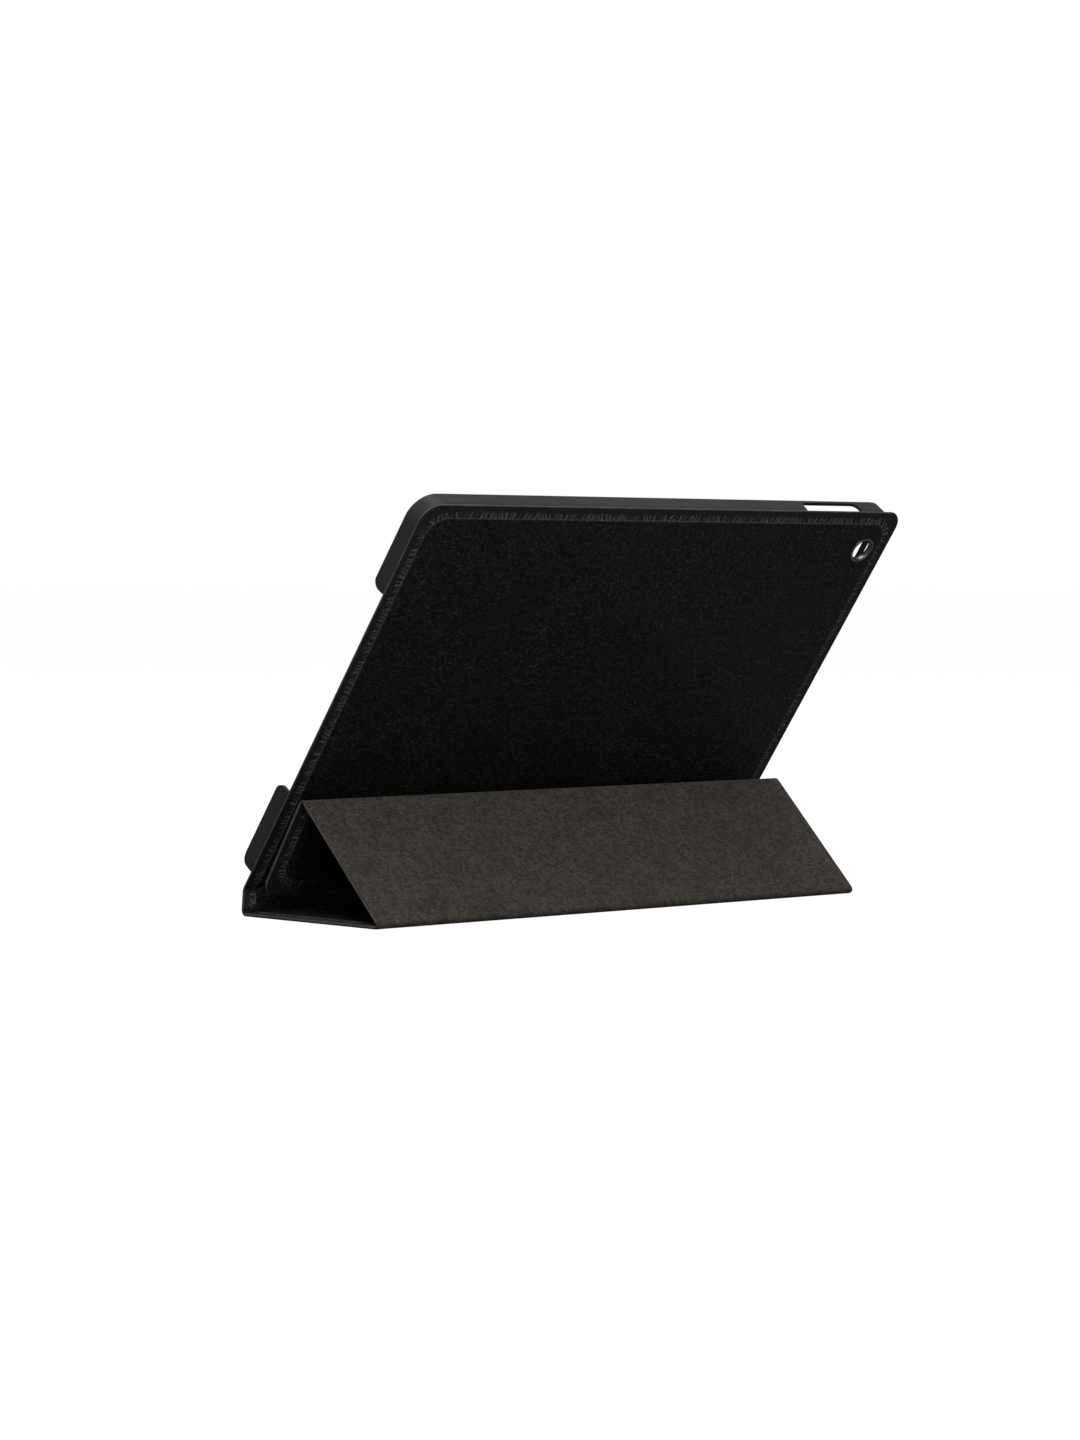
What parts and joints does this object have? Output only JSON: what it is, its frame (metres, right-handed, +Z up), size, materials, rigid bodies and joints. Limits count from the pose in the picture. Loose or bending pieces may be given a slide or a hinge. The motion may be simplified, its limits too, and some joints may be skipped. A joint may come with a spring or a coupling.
{
  "type": "tablet case",
  "caption": "Folio tablet case as a stand: plastic tray with a leather back, a spine, and a three-panel cover folded into a prism behind it.",
  "frame": {"origin": "middle of the footprint, on the table under the base panel", "axes": "+X along the folds, towards the end with the port gap; +Z up; the screen side faces -Y and the stand +Y"},
  "size_m": [0.257, 0.1124, 0.1601],
  "materials": {
    "tray_plastic": "fine matt polycarbonate",
    "leather": "grained black artificial leather",
    "microfibre": "mottled grey-brown microfibre felt",
    "board": "plain greyboard",
    "fold_leather": "bare leather and lining at a fold",
    "ring_metal": "satin ring",
    "steel": "plain strip",
    "magnet": "nickel-plated"
  },
  "bodies": {
    "back_case": {"tray_shell": "tray_plastic", "tray_pad": "microfibre", "back_board": "board", "back_leather": "leather", "camera_ring": "ring_metal", "back_hinge": "fold_leather"},
    "spine": {"spine_leather": "leather", "spine_strip": "board", "spine_lining": "microfibre", "base_hinge": "fold_leather"},
    "base_panel": {"base_leather": "leather", "base_board": "board", "base_lining": "microfibre", "base_steel": "steel", "far_hinge": "fold_leather"},
    "slope_panel": {"slope_leather": "leather", "slope_board": "board", "slope_lining": "microfibre", "top_hinge": "fold_leather"},
    "inner_panel": {"inner_leather": "leather", "inner_board": "board", "inner_lining": "microfibre", "closing_magnets": "magnet", "sleep_magnet": "magnet"}
  },
  "joints": [
    {"name": "back_fold", "type": "hinge", "parent": "back_case", "child": "spine", "pos_m": [0, -0.04987, 0.01086], "axis": [-1, 0, 0], "range_deg": [0, 120.7]},
    {"name": "base_fold", "type": "hinge", "parent": "spine", "child": "base_panel", "pos_m": [0, -0.05079, 0.00095], "axis": [-1, 0, 0], "range_deg": [0, 185.3]},
    {"name": "far_fold", "type": "hinge", "parent": "base_panel", "child": "slope_panel", "pos_m": [0, 0.0279, 0.0014], "axis": [-1, 0, 0], "range_deg": [0, 134.74]},
    {"name": "top_fold", "type": "hinge", "parent": "slope_panel", "child": "inner_panel", "pos_m": [0, -0.01522, 0.04494], "axis": [-1, 0, 0], "range_deg": [0, 102.5]}
  ],
  "couplings": [
    {"joint": "far_fold", "follows": "base_fold", "ratio": 0.72702},
    {"joint": "top_fold", "follows": "base_fold", "ratio": 0.55306}
  ]
}
